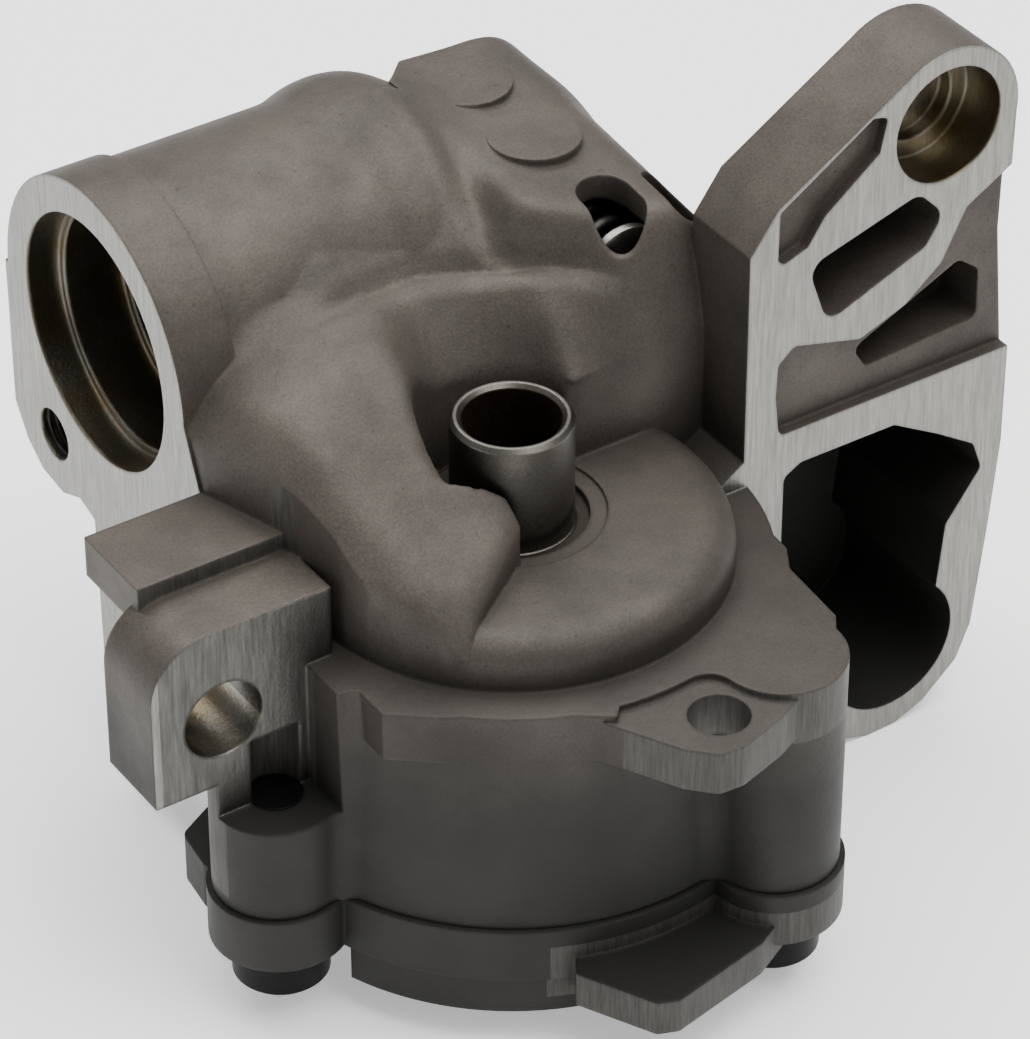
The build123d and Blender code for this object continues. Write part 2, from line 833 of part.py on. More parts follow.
# Cover with its pad, the round boss of the lower bearing, an ear and a lug
with BuildPart() as pump_cover:
    with BuildSketch(Plane.XY.offset(joint_z)):
        Circle(body_r + cover_grow)
        with Locations(*bolt_points):
            Circle(boss_r + cover_grow)
        with BuildLine():
            Polyline((26.0, 0), (31.5, -25.5), (30.6, -38.0), (15.0, -40.0), close=True)
        make_face()
    extrude(amount=-cover_thickness)
    with BuildSketch(Plane.XY.offset(cover_z)):
        Circle(body_r)
        with Locations(*bolt_points):
            Circle(boss_r + 1.5, mode=Mode.SUBTRACT)
    extrude(amount=-pad_drop)
    with BuildSketch(Plane.XY.offset(pad_z)):
        Circle(lower_boss_r)
    extrude(amount=-lower_boss_drop)
    with BuildSketch(Plane.XY.offset(cover_z + 3.5)) as cover_ear:
        with BuildLine():
            Polyline(
                (-16.5, -41.3),
                (-10.5, -52.8),
                (-7.5, -54.0),
                (9.2, -50.6),
                (20.0, -45.0),
                (14.0, -34.0),
                (-12.0, -34.0),
                close=True,
            )
        make_face()
        fillet(cover_ear.vertices().filter_by(lambda corner: corner.Y < -50), 1.2)
    extrude(amount=-5.8)
    with BuildSketch(Plane.XY.offset(joint_z)) as lug:
        with BuildLine():
            Polyline(
                (-36.0, 15.0),
                (-44.4, 13.7),
                (-50.4, 10.5),
                (-51.4, 2.4),
                (-44.0, -4.0),
                (-34.0, 0),
                close=True,
            )
        make_face()
        fillet(lug.vertices().filter_by(lambda corner: corner.X < -49), 2.0)
    extrude(amount=-cover_thickness + 1)
    with BuildSketch(Plane.XY.offset(cover_z)):
        with Locations(*bolt_points):
            Circle(bolt_head_r + bolt_clearance)
    extrude(amount=-bolt_head_height, mode=Mode.SUBTRACT)
    # Bearing bore, recess of the retaining ring, and shallow kidney ports
    with BuildSketch(Plane.XY.offset(joint_z)):
        Circle(bush_outer_r)
    extrude(amount=shaft_bottom_z - free_gap - joint_z, mode=Mode.SUBTRACT)
    with BuildSketch(Plane.XY.offset(joint_z)):
        Circle(journal_r + 3.0)
    extrude(amount=lower_bush_top_z - joint_z, mode=Mode.SUBTRACT)
    with BuildSketch(Plane.XY.offset(joint_z)):
        add(kidney_section)
        add(kidney_section.mirror(Plane.YZ))
    extrude(amount=-cover_kidney_depth, mode=Mode.SUBTRACT)
    with BuildSketch(Plane.XY.offset(joint_z)):
        with Locations(*bolt_points):
            Circle(bolt_r + bolt_clearance)
    extrude(amount=-cover_thickness, mode=Mode.SUBTRACT)
    with BuildSketch(Plane.XY.offset(joint_z)):
        with Locations(*dowel_points):
            Circle(dowel_r + slip_clearance)
    extrude(amount=-dowel_length / 2, mode=Mode.SUBTRACT)
pump_cover.part.label = "pump_cover"
export_step(pump_cover.part, "parts/pump_cover.step")

# Bolts of the cover, one node each, with the head under the cover
bolt_names = ("cover_bolt_left", "cover_bolt_right", "cover_bolt_rear", "cover_bolt_rear_left")
for bolt_name, bolt_point in zip(bolt_names, bolt_points):
    with BuildPart() as bolt:
        with BuildSketch(Plane.XY.offset(cover_z)):
            with Locations(bolt_point):
                Circle(bolt_head_r)
        extrude(amount=-bolt_head_height)
        chamfer(bolt.edges().filter_by(GeomType.CIRCLE).group_by(Axis.Z)[0], 0.8)
        with BuildSketch(Plane.XY.offset(cover_z - bolt_head_height)):
            with Locations(bolt_point):
                RegularPolygon(bolt_socket_r, 6)
        extrude(amount=bolt_socket_depth, mode=Mode.SUBTRACT)
        with BuildSketch(Plane.XY.offset(cover_z)):
            with Locations(bolt_point):
                Circle(bolt_r)
        extrude(amount=cover_thickness + bolt_reach)
    bolt.part.label = bolt_name
    export_step(bolt.part, f"parts/{bolt_name}.step")

for dowel_name, dowel_point in zip(("dowel_left", "dowel_right"), dowel_points):
    with BuildPart() as dowel:
        with BuildSketch(Plane.XY.offset(joint_z - dowel_length / 2)):
            with Locations(dowel_point):
                Circle(dowel_r)
        extrude(amount=dowel_length)
        chamfer(dowel.edges().filter_by(GeomType.CIRCLE), 0.4)
    dowel.part.label = dowel_name
    export_step(dowel.part, f"parts/{dowel_name}.step")

# Relief valve: cup piston, coil spring, screw plug and its sealing ring
with BuildPart() as relief_piston:
    with BuildSketch(Plane.XZ.offset(-piston_rest_y)):
        with Locations((valve_x, valve_z)):
            Circle(valve_r - running_clearance)
    extrude(amount=-piston_length)
    with BuildSketch(Plane.XZ.offset(-piston_rest_y)):
        with Locations((valve_x, valve_z)):
            Circle(valve_r - piston_wall)
    extrude(amount=-piston_cup_depth, mode=Mode.SUBTRACT)
relief_piston.part.label = "relief_piston"
export_step(relief_piston.part, "parts/relief_piston.step")

spring_r = valve_r - piston_wall - free_gap - spring_wire_r
spring_start_y = valve_front_y + spring_seat_thickness + spring_wire_r + 0.1
spring_length = piston_rest_y + piston_cup_depth - spring_start_y - spring_wire_r - 0.1
spring_pitch = spring_length / spring_turns
spring_centre = (valve_x, spring_start_y, valve_z)
with BuildPart() as relief_spring:
    with BuildLine() as coil:
        Helix(spring_pitch, spring_length, spring_r, center=spring_centre, direction=(0, 1, 0))
    with BuildSketch(Plane(origin=coil.line @ 0, z_dir=coil.line % 0)):
        Circle(spring_wire_r)
    sweep(path=coil.line)
relief_spring.part.label = "relief_spring"
export_step(relief_spring.part, "parts/relief_spring.step")

with BuildPart() as spring_seat:
    with BuildSketch(Plane.XZ.offset(-valve_front_y)):
        with Locations((valve_x, valve_z)):
            Circle(valve_r - free_gap)
            Circle(spring_r - 1.5, mode=Mode.SUBTRACT)
    extrude(amount=-spring_seat_thickness)
spring_seat.part.label = "spring_seat"
export_step(spring_seat.part, "parts/spring_seat.step")

with BuildPart() as relief_plug:
    with BuildSketch(Plane.XZ.offset(-valve_rear_y)):
        with Locations((valve_x, valve_z)):
            Circle(plug_r - slip_clearance)
    extrude(amount=plug_length)
    with BuildSketch(Plane.XZ.offset(-valve_rear_y)):
        with Locations((valve_x, valve_z)):
            RegularPolygon(4.6, 6)
    extrude(amount=plug_socket_depth, mode=Mode.SUBTRACT)
    with BuildSketch(Plane.XZ.offset(-valve_rear_y + plug_length - 2.6)):
        with Locations((valve_x, valve_z)):
            Circle(plug_r + 1)
            Circle(plug_r - seal_section, mode=Mode.SUBTRACT)
    extrude(amount=seal_section, mode=Mode.SUBTRACT)
relief_plug.part.label = "relief_plug"
export_step(relief_plug.part, "parts/relief_plug.step")

with BuildPart() as plug_seal:
    with BuildSketch(Plane.XZ.offset(-valve_rear_y + plug_length - 2.6)):
        with Locations((valve_x, valve_z)):
            Circle(plug_r - slip_clearance)
            Circle(plug_r - seal_section + slip_clearance, mode=Mode.SUBTRACT)
    extrude(amount=seal_section)
plug_seal.part.label = "plug_seal"
export_step(plug_seal.part, "parts/plug_seal.step")
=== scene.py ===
# %% [markdown]
# An engine oil pump, cast in one piece with its bracket and its pressure port.
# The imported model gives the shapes. This lesson gives them their finishes: blasted
# casting, milled faces, a ground steel shaft, black bolts, and light to see them by.

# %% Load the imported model
import math

import bmesh
import bpy
import numpy as np
from mathutils import Matrix, Vector


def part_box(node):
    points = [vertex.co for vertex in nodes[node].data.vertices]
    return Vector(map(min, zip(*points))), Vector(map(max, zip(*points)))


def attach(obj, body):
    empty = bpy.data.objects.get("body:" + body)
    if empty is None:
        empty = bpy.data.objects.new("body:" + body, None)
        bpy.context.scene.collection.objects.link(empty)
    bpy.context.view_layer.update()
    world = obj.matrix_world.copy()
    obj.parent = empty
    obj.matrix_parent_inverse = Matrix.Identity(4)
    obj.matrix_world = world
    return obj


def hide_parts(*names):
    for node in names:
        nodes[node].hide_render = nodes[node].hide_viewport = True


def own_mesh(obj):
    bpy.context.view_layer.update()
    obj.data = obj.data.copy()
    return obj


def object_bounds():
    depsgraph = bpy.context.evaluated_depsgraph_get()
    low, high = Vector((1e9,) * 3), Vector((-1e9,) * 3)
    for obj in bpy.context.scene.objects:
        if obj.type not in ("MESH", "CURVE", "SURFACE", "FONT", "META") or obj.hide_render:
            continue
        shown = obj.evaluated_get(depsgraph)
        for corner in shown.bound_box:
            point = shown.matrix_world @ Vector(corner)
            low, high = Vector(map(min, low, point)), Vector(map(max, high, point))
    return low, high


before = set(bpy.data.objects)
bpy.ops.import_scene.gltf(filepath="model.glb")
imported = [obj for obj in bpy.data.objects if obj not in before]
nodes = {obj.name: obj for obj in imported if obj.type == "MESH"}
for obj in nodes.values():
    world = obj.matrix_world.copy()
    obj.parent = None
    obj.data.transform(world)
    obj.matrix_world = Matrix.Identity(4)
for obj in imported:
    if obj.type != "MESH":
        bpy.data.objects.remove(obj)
cad_low, cad_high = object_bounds()
MM = 0.001
print("CAD pieces:", len(nodes))

# %% [markdown]
# The photograph was taken from the upper left with a long lens. A camera far away with
# a narrow view keeps the edges of the casting nearly parallel, as they are there.

# %% Camera
LENS, SENSOR_WIDTH, NEAREST = 173.2, 36, 0.01
LOOK_AT = Vector((-0.2, -1.1, -0.7)) * MM
TURN, RISE, AWAY = math.radians(-33.67), math.radians(36.64), 714 * MM
flat_share = math.cos(RISE)
back = Vector((math.sin(TURN) * flat_share, -math.cos(TURN) * flat_share, math.sin(RISE)))


def place_object(name, data):
    """Puts an object with this mesh, camera or lamp in the scene, at the origin."""
    thing = bpy.data.objects.new(name, data)
    bpy.context.scene.collection.objects.link(thing)
    return thing


camera = place_object("camera", bpy.data.cameras.new("camera"))
camera.location = LOOK_AT + back * AWAY
camera.rotation_euler = (-back).to_track_quat("-Z", "Y").to_euler()
camera.data.lens = LENS
camera.data.sensor_width = SENSOR_WIDTH
camera.data.clip_start = NEAREST
bpy.context.scene.camera = camera
print("camera stands at", [round(value, 3) for value in camera.location])

# %% [markdown]
# The pump stands on its cover's bolts. The floor is a plain pale sheet that reaches far
# past the view, and the light is one large soft lamp above, with weaker ones round it.

# %% Floor and lights
FLOOR_HALF = 3.0
FLOOR_TONE, FLOOR_ROUGH, FLOOR_GLOW = (0.9, 0.9, 0.9, 1), 0.9, 0.45
WHITE, ROOM_LIGHT = (1, 1, 1, 1), 0.32
floor_z = cad_low.z
corners = ((-1, -1), (1, -1), (1, 1), (-1, 1))
floor_mesh = bpy.data.meshes.new("floor")
floor_points = [(x * FLOOR_HALF, y * FLOOR_HALF, floor_z) for x, y in corners]
floor_mesh.from_pydata(floor_points, [], [(0, 1, 2, 3)])
floor = place_object("floor", floor_mesh)
floor_paint = bpy.data.materials.new("floor_paint")
floor_paint.use_nodes = True
floor_shader = floor_paint.node_tree.nodes["Principled BSDF"]
floor_shader.inputs["Base Color"].default_value = FLOOR_TONE
floor_shader.inputs["Roughness"].default_value = FLOOR_ROUGH
floor_shader.inputs["Emission Color"].default_value = WHITE
floor_shader.inputs["Emission Strength"].default_value = FLOOR_GLOW
floor.data.materials.append(floor_paint)

world = bpy.data.worlds.new("studio")
world.use_nodes = True
room = world.node_tree.nodes["Background"]
room.inputs["Color"].default_value = WHITE
room.inputs["Strength"].default_value = ROOM_LIGHT
bpy.context.scene.world = world


def soft_lamp(name, place, width, power):
    """A square lamp at place that faces the pump. place and width are in metres, power in watts."""
    lamp = bpy.data.lights.new(name, "AREA")
    lamp.size = width
    lamp.energy = power
    thing = place_object(name, lamp)
    thing.location = place
    thing.rotation_euler = (-Vector(place)).to_track_quat("-Z", "Y").to_euler()


soft_lamp("lamp_above", (0.22, 0.1, 0.9), 1.2, 19)
soft_lamp("lamp_left", (-0.9, 0.1, 0.25), 0.5, 1.6)
soft_lamp("lamp_front", (0.15, -0.45, 0.85), 0.7, 6)
soft_lamp("lamp_behind", (-0.1, 0.6, 0.75), 0.6, 5)
print("floor at", round(floor_z * 1000, 1), "mm, lamps:", len(bpy.data.lights))

# %% [markdown]
# Every finish below is a few shader nodes. These helpers add a node with its settings,
# work out a number, blend two colours, and make or place a group of nodes, so that a
# material reads like a short list.

# %% Helpers for shader nodes
def give(tree, socket, value):
    """Links a socket to another one, or sets it to a plain value."""
    if isinstance(value, bpy.types.NodeSocket):
        tree.links.new(value, socket)
    else:
        socket.default_value = value


def add(tree, kind, inputs=(), **settings):
    """Adds a shader node. inputs gives values or sockets, in order or by socket name."""
    node = tree.nodes.new("ShaderNode" + kind)
    for name, value in settings.items():
        setattr(node, name, value)
    pairs = inputs.items() if isinstance(inputs, dict) else enumerate(inputs)
    for key, value in pairs:
        give(tree, node.inputs[key], value)
    return node


def sums(tree, operation, *values, clamp=False):
    """A Math node's result."""
    return add(tree, "Math", values, operation=operation, use_clamp=clamp).outputs[0]


def blend(tree, share, first, second):
    """A colour between first and second."""
    node = add(tree, "Mix", data_type="RGBA")
    for key, value in ((0, share), (6, first), (7, second)):
        give(tree, node.inputs[key], value)
    return node.outputs[2]


def new_group(name, takes, gives):
    """An empty shader node group, and its input and output nodes."""
    tree = bpy.data.node_groups.new(name, "ShaderNodeTree")
    for label, kind, value in takes:
        socket = tree.interface.new_socket(label, in_out="INPUT", socket_type="NodeSocket" + kind)
        socket.default_value = value
    for label, kind in gives:
        tree.interface.new_socket(label, in_out="OUTPUT", socket_type="NodeSocket" + kind)
    return tree, tree.nodes.new("NodeGroupInput"), tree.nodes.new("NodeGroupOutput")


def use_group(tree, group, **values):
    """Places a group in a tree with its own values."""
    node = tree.nodes.new("ShaderNodeGroup")
    node.node_tree = group
    for label, value in values.items():
        give(tree, node.inputs[label.replace("_", " ")], value)
    return node


# %% [markdown]
# A shot-blasted casting has a fine even grain, faint clouds of tone and small dark
# specks. Noises of different size in one group give all of them, and each material
# sets its own sizes.

# %% Grain group
grain, grain_in, grain_out = new_group(
    "blasted_grain",
    [("Grain size", "Float", 0.4 * MM), ("Cloud size", "Float", 16 * MM)],
    [("Height", "Float"), ("Waves", "Float"), ("Clouds", "Float"), ("Specks", "Float")],
)
place = add(grain, "TexCoord").outputs["Object"]
fine = sums(grain, "DIVIDE", 1.0, grain_in.outputs["Grain size"])
wide = sums(grain, "DIVIDE", 1.0, grain_in.outputs["Cloud size"])
wave_scale = sums(grain, "MULTIPLY", wide, 4.0)
fine_noise = add(
    grain, "TexNoise", {"Vector": place, "Scale": fine, "Detail": 3.0, "Roughness": 0.6}
)
wave_noise = add(grain, "TexNoise", {"Vector": place, "Scale": wave_scale, "Detail": 2.0})
wide_noise = add(
    grain, "TexNoise", {"Vector": place, "Scale": wide, "Detail": 5.0, "Roughness": 0.6}
)
clouds = add(grain, "MapRange", [wide_noise.outputs[0], 0.32, 0.68, 0.0, 1.0])
speck_scale = sums(grain, "MULTIPLY", fine, 0.4)
speck_noise = add(grain, "TexNoise", {"Vector": place, "Scale": speck_scale, "Detail": 1.0})
specks = add(grain, "MapRange", [speck_noise.outputs[0], 0.72, 0.78, 0.0, 1.0])
grain.links.new(fine_noise.outputs[0], grain_out.inputs["Height"])
grain.links.new(wave_noise.outputs[0], grain_out.inputs["Waves"])
grain.links.new(clouds.outputs[0], grain_out.inputs["Clouds"])
grain.links.new(specks.outputs[0], grain_out.inputs["Specks"])

# %% [markdown]
# Real edges are never sharp. A Bevel node rounds the shading there, and where its
# normal leaves the face's own, the edge has been rubbed lighter. Corners that face
# other walls get painted shade, and an occlusion node finds those.

# %% Edge group
edges, edges_in, edges_out = new_group(
    "rubbed_edge_and_corner_shade",
    [("Width", "Float", 0.6 * MM), ("Gain", "Float", 3.0), ("Reach", "Float", 9 * MM)],
    [("Mask", "Float"), ("Normal", "Vector"), ("Corner shade", "Float")],
)
rounded = add(edges, "Bevel", {"Radius": edges_in.outputs["Width"]}, samples=4)
own = add(edges, "NewGeometry").outputs["Normal"]
along = add(edges, "VectorMath", [rounded.outputs[0], own], operation="DOT_PRODUCT")
turned = sums(edges, "SUBTRACT", 1.0, along.outputs["Value"])
openness = add(
    edges, "AmbientOcclusion", {"Distance": edges_in.outputs["Reach"]}, samples=4, only_local=True
)
open_share = openness.outputs["AO"]
outer = add(edges, "MapRange", [open_share, 0.55, 0.9, 0.0, 1.0]).outputs[0]
rubbed = sums(edges, "MULTIPLY", turned, edges_in.outputs["Gain"], clamp=True)
edges.links.new(sums(edges, "MULTIPLY", rubbed, outer), edges_out.inputs["Mask"])
edges.links.new(rounded.outputs[0], edges_out.inputs["Normal"])
# Painted shade: the closed-off share that the occlusion node finds is given out to darken corners.
edges.links.new(sums(edges, "SUBTRACT", 1.0, open_share, clamp=True), edges_out.inputs["Corner shade"])

# %% [markdown]
# Some faces of the casting were milled flat after it was cast. They all lie on known
# planes, so a group that tells how near a point is to a plane finds them. Bores were
# turned, and they are found by their distance from an axis. Edges that were trimmed
# after casting are found by a box round them.

# %% Groups for machined places
plane, plane_in, plane_out = new_group(
    "milled_plane",
    [("Facing", "Vector", (0, -1, 0)), ("Place", "Float", 0.0)],
    [("Mask", "Float")],
)
plane_coords = add(plane, "TexCoord")
facing = plane_in.outputs["Facing"]


def along_facing(what):
    """How far a place or a normal goes the way that the plane faces."""
    pair = [plane_coords.outputs[what], facing]
    return add(plane, "VectorMath", pair, operation="DOT_PRODUCT").outputs["Value"]


near = sums(plane, "COMPARE", along_facing("Object"), plane_in.outputs["Place"], 0.04 * MM)
flat = sums(plane, "GREATER_THAN", along_facing("Normal"), 0.9)
plane.links.new(sums(plane, "MULTIPLY", near, flat), plane_out.inputs["Mask"])

bore, bore_in, bore_out = new_group(
    "turned_bore",
    [
        ("Mouth", "Vector", (0, 0, 0)),
        ("Axis", "Vector", (0, 0, 1)),
        ("Radius", "Float", 0.0),
        ("Depth", "Float", 0.0),
    ],
    [("Mask", "Float"), ("Deep", "Float")],
)
bore_place = add(bore, "TexCoord").outputs["Object"]
mouth, axis = bore_in.outputs["Mouth"], bore_in.outputs["Axis"]
from_mouth = add(bore, "VectorMath", [bore_place, mouth], operation="SUBTRACT").outputs[0]
deep = add(bore, "VectorMath", [from_mouth, axis], operation="DOT_PRODUCT").outputs["Value"]
on_axis = add(bore, "VectorMath", operation="SCALE")
bore.links.new(axis, on_axis.inputs[0])
bore.links.new(deep, on_axis.inputs["Scale"])
aside = add(bore, "VectorMath", [from_mouth, on_axis.outputs[0]], operation="SUBTRACT").outputs[0]
reach = add(bore, "VectorMath", [aside], operation="LENGTH").outputs["Value"]
within = sums(bore, "LESS_THAN", reach, bore_in.outputs["Radius"])
below_mouth = sums(bore, "GREATER_THAN", deep, 0.02 * MM)
above_floor = sums(bore, "LESS_THAN", deep, bore_in.outputs["Depth"])
inside = sums(bore, "MULTIPLY", within, sums(bore, "MULTIPLY", below_mouth, above_floor))
depth_share = sums(bore, "DIVIDE", deep, bore_in.outputs["Depth"], clamp=True)
bore.links.new(inside, bore_out.inputs["Mask"])
bore.links.new(depth_share, bore_out.inputs["Deep"])

box, box_in, box_out = new_group(
    "trimmed_box",
    [("Middle", "Vector", (0, 0, 0)), ("Half", "Vector", (0, 0, 0))],
    [("Mask", "Float")],
)
box_coords = add(box, "TexCoord")
middle, half = box_in.outputs["Middle"], box_in.outputs["Half"]
offset = add(box, "VectorMath", [box_coords.outputs["Object"], middle], operation="SUBTRACT")
offset = add(box, "VectorMath", [offset.outputs[0]], operation="ABSOLUTE")
offset = add(box, "VectorMath", [offset.outputs[0], half], operation="SUBTRACT")
past_x, past_y, past_z = add(box, "SeparateXYZ", [offset.outputs[0]]).outputs
most = sums(box, "MAXIMUM", past_x, sums(box, "MAXIMUM", past_y, past_z))
in_box = sums(box, "LESS_THAN", most, 0.0)
normal_parts = add(box, "SeparateXYZ", [box_coords.outputs["Normal"]])
upright = sums(box, "LESS_THAN", sums(box, "ABSOLUTE", normal_parts.outputs[2]), 0.3)
box.links.new(sums(box, "MULTIPLY", in_box, upright), box_out.inputs["Mask"])

# %% [markdown]
# A cutter leaves fine lines. The group gives a noise that is stretched along Z, so it
# reads as upright lines on the milled faces and on the trimmed edges.

# %% Cutter lines group
lines, lines_in, lines_out = new_group(
    "cutter_lines",
    [("Pitch", "Float", 0.5 * MM), ("Stretch", "Float", 0.04)],
    [("Lines", "Float")],
)
squeezed = add(lines, "CombineXYZ", [1.0, 1.0, 1.0])
lines.links.new(lines_in.outputs["Stretch"], squeezed.inputs[2])
pair = [add(lines, "TexCoord").outputs["Object"], squeezed.outputs[0]]
line_place = add(lines, "VectorMath", pair, operation="MULTIPLY").outputs[0]
line_scale = sums(lines, "DIVIDE", 1.0, lines_in.outputs["Pitch"])
line_noise = add(
    lines, "TexNoise", {"Vector": line_place, "Scale": line_scale, "Detail": 3.0, "Roughness": 0.7}
)
lines.links.new(line_noise.outputs[0], lines_out.inputs["Lines"])
print("groups:", [group.name for group in bpy.data.node_groups])

# %% [markdown]
# The bare metal finishes start from one recipe: a colour, how rough it is, how much
# it is metal, and how deep its grain is.

# %% Metal recipe
SPECULAR = 0.3
# The darker tone below serves both the real dark specks and painted shade in corners.
DARK_SHARE, SPECK_AND_SHADE_SHARES = 0.66, (0.38, 0.36, 0.32)
SPECK_STRENGTH, CORNER_SHADE_STRENGTH, WAVE_STRENGTH = 0.6, 0.35, 1.5


def metal(
    name, colour, rough, grain_size, depth, edge_width=0.4, edge_gain=2.0, lighter=0.35, metallic=1.0
):
    """A finish with a fine grain, rubbed edges and painted shade in corners. grain_size, depth and
    edge_width are in mm.
    """
    paint = bpy.data.materials.new(name)
    paint.use_nodes = True
    tree = paint.node_tree
    shader = tree.nodes["Principled BSDF"]
    shader.inputs["Metallic"].default_value = metallic
    shader.inputs["Specular IOR Level"].default_value = SPECULAR
    surface = use_group(tree, grain, Grain_size=grain_size * MM)
    edge = use_group(tree, edges, Width=edge_width * MM, Gain=edge_gain)
    light = [min(1, value * (1 + lighter)) for value in colour] + [1]
    dark = [value * DARK_SHARE for value in colour] + [1]
    speck_and_shade_tone = [value * share for value, share in zip(colour, SPECK_AND_SHADE_SHARES)] + [1]
    toned = blend(tree, surface.outputs["Clouds"], dark, list(colour) + [1])
    grained = add(tree, "MapRange", [surface.outputs["Height"], 0.35, 0.65, 0.84, 1.14])
    toned = blend(tree, edge.outputs["Mask"], toned, light)
    specked = sums(tree, "MULTIPLY", surface.outputs["Specks"], SPECK_STRENGTH)
    toned = blend(tree, specked, toned, speck_and_shade_tone)
    # Painted shade: corners that the occlusion node finds are blended darker.
    toned = blend(tree, sums(tree, "MULTIPLY", edge.outputs["Corner shade"], CORNER_SHADE_STRENGTH), toned, speck_and_shade_tone)
    shaded = add(tree, "VectorMath", operation="SCALE")
    tree.links.new(toned, shaded.inputs[0])
    tree.links.new(grained.outputs[0], shaded.inputs["Scale"])
    tree.links.new(shaded.outputs[0], shader.inputs["Base Color"])
    clouds = surface.outputs["Clouds"]
    rougher = add(tree, "MapRange", [clouds, 0.0, 1.0, rough + 0.08, rough - 0.04])
    tree.links.new(rougher.outputs[0], shader.inputs["Roughness"])
    waves = sums(tree, "MULTIPLY", surface.outputs["Waves"], WAVE_STRENGTH)
    relief = sums(tree, "ADD", surface.outputs["Height"], waves)
    bump = add(tree, "Bump", {"Strength": 1.0, "Distance": depth * MM, "Height": relief})
    tree.links.new(edge.outputs["Normal"], bump.inputs["Normal"])
    tree.links.new(bump.outputs[0], shader.inputs["Normal"])
    return paint


def dress(paint, *names):
    """Puts a material on CAD nodes."""
    for name in names:
        piece = nodes[name]
        piece.data.materials.clear()
        piece.data.materials.append(paint)


def feed(tree, socket, mask, value):
    """Blends what a shader socket had with value, where mask is 1."""
    number = not hasattr(socket.default_value, "__len__")
    mix = add(tree, "Mix", data_type="FLOAT" if number else "RGBA")
    first, second, result = (2, 3, 0) if number else (6, 7, 2)
    tree.links.new(mask, mix.inputs[0])
    if socket.is_linked:
        tree.links.new(socket.links[0].from_socket, mix.inputs[first])
    else:
        mix.inputs[first].default_value = socket.default_value
    give(tree, mix.inputs[second], value)
    tree.links.new(mix.outputs[result], socket)


BLACK_SPECULAR = 0.1
TURNED_PIECES = (
    "rotor_key",
    "dowel_left",
    "dowel_right",
    "relief_piston",
    "relief_plug",
    "spring_seat",
)
sintered = metal("sintered_steel", (0.24, 0.235, 0.23), 0.45, 0.5, 0.01)
turned_steel = metal("turned_steel", (0.30, 0.285, 0.26), 0.32, 0.5, 0.004)
wire = metal("spring_wire", (0.055, 0.052, 0.048), 0.45, 0.4, 0.005, lighter=0.2)
bearing = metal("bearing_metal", (0.060, 0.053, 0.045), 0.5, 0.5, 0.02)
black = metal("black_oxide", (0.004, 0.004, 0.004), 0.38, 0.5, 0.01, metallic=0.0, lighter=1.2)
rubber = metal("seal_rubber", (0.012, 0.012, 0.012), 0.6, 0.5, 0.01, metallic=0.0)
black_shader = black.node_tree.nodes["Principled BSDF"]
black_shader.inputs["Specular IOR Level"].default_value = BLACK_SPECULAR
dress(turned_steel, *TURNED_PIECES)
dress(sintered, "inner_rotor", "outer_rotor")
dress(wire, "relief_spring", "retaining_ring")
dress(bearing, "upper_bush", "lower_bush")
dress(black, *[name for name in nodes if name.startswith("cover_bolt")])
dress(rubber, "plug_seal")
print("plain finishes:", [paint.name for paint in bpy.data.materials])

# %% [markdown]
# The shaft is ground outside, and its finish has a fine grain. Its inside stays dark
# and brown, since no wheel has reached it, and a fine noise varies how rough it is there.

# %% Shaft
SHAFT_BORE_R, SHAFT_BORE_DEPTH = 7.3, 40
INSIDE_BROWN = (0.035, 0.024, 0.016, 1)
ground = metal("ground_steel", (0.125, 0.118, 0.105), 0.34, 0.35, 0.002, 0.35, 2.5, 1.1)
tree = ground.node_tree
shader = tree.nodes["Principled BSDF"]
rings = use_group(tree, lines, Pitch=0.6 * MM, Stretch=1.0)
hollow = use_group(
    tree,
    bore,
    Mouth=(0, 0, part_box("drive_shaft")[1][2]),
    Axis=(0, 0, -1),
    Radius=SHAFT_BORE_R * MM,
    Depth=SHAFT_BORE_DEPTH * MM,
)
rough_inside = add(tree, "MapRange", [rings.outputs["Lines"], 0.3, 0.7, 0.5, 0.75])
feed(tree, shader.inputs["Base Color"], hollow.outputs["Mask"], INSIDE_BROWN)
feed(tree, shader.inputs["Roughness"], hollow.outputs["Mask"], rough_inside.outputs[0])
dress(ground, "drive_shaft")
print("shaft finish:", ground.name)

# %% [markdown]
# The casting itself has several finishes on one piece: brown-grey blasted skin with
# painted shade that darkens it low down, light satin faces where a cutter went over it,
# and turned bores with a brown stain from the oil.

# %% Casting
SKIN = (0.076, 0.065, 0.055)
LOW_PAINTED_SHADE = (0.013, 0.0132, 0.0115, 1)
CUT_DARK, CUT_LIGHT = (0.17, 0.167, 0.153, 1), (0.25, 0.246, 0.228, 1)
BORE_DARK, BORE_LIGHT = (0.15, 0.147, 0.133, 1), (0.28, 0.275, 0.25, 1)
TRIM_DARK, TRIM_LIGHT = (0.036, 0.034, 0.030, 1), (0.085, 0.082, 0.074, 1)
STAIN = (0.20, 0.16, 0.09, 1)
SHADE_FROM_Z, SHADE_TO_Z, DEEPEST_SHADE = 5, -27, 0.9
BORE_ROUGH, MILLED_METAL, TRIM_STRENGTH = 0.3, 0.95, 0.75
MILLED = (((0, -1, 0), 5.7), ((-1, 0, 0), 39.7))
BORES = (
    ((-39.7, 49.0, 16.3), (1, 0, 0), 20.0, 53.2),
    ((-39.7, 63.2, -8.4), (1, 0, 0), 4.4, 12.0),
    ((71.5, -5.7, 43.1), (0, 1, 0), 9.6, 12.0),
    ((-51.8, -5.7, -11.2), (0, 1, 0), 6.5, 14.0),
)
TRIMMED = (((0, -50, -12), (32, 9, 4.4)), ((-48, 0, -12), (14, 7.4, 30)))
COVER_TRIMMED = (((12, -46, -52), (30, 14, 5)),)


def most_of(tree, uses, label):
    """The largest of one mask that several uses of a group give."""
    total = uses[0].outputs[label]
    for use in uses[1:]:
        total = sums(tree, "MAXIMUM", total, use.outputs[label])
    return total


def in_metres(values):
    """A place or size given in mm, in metres."""
    return tuple(value * MM for value in values)


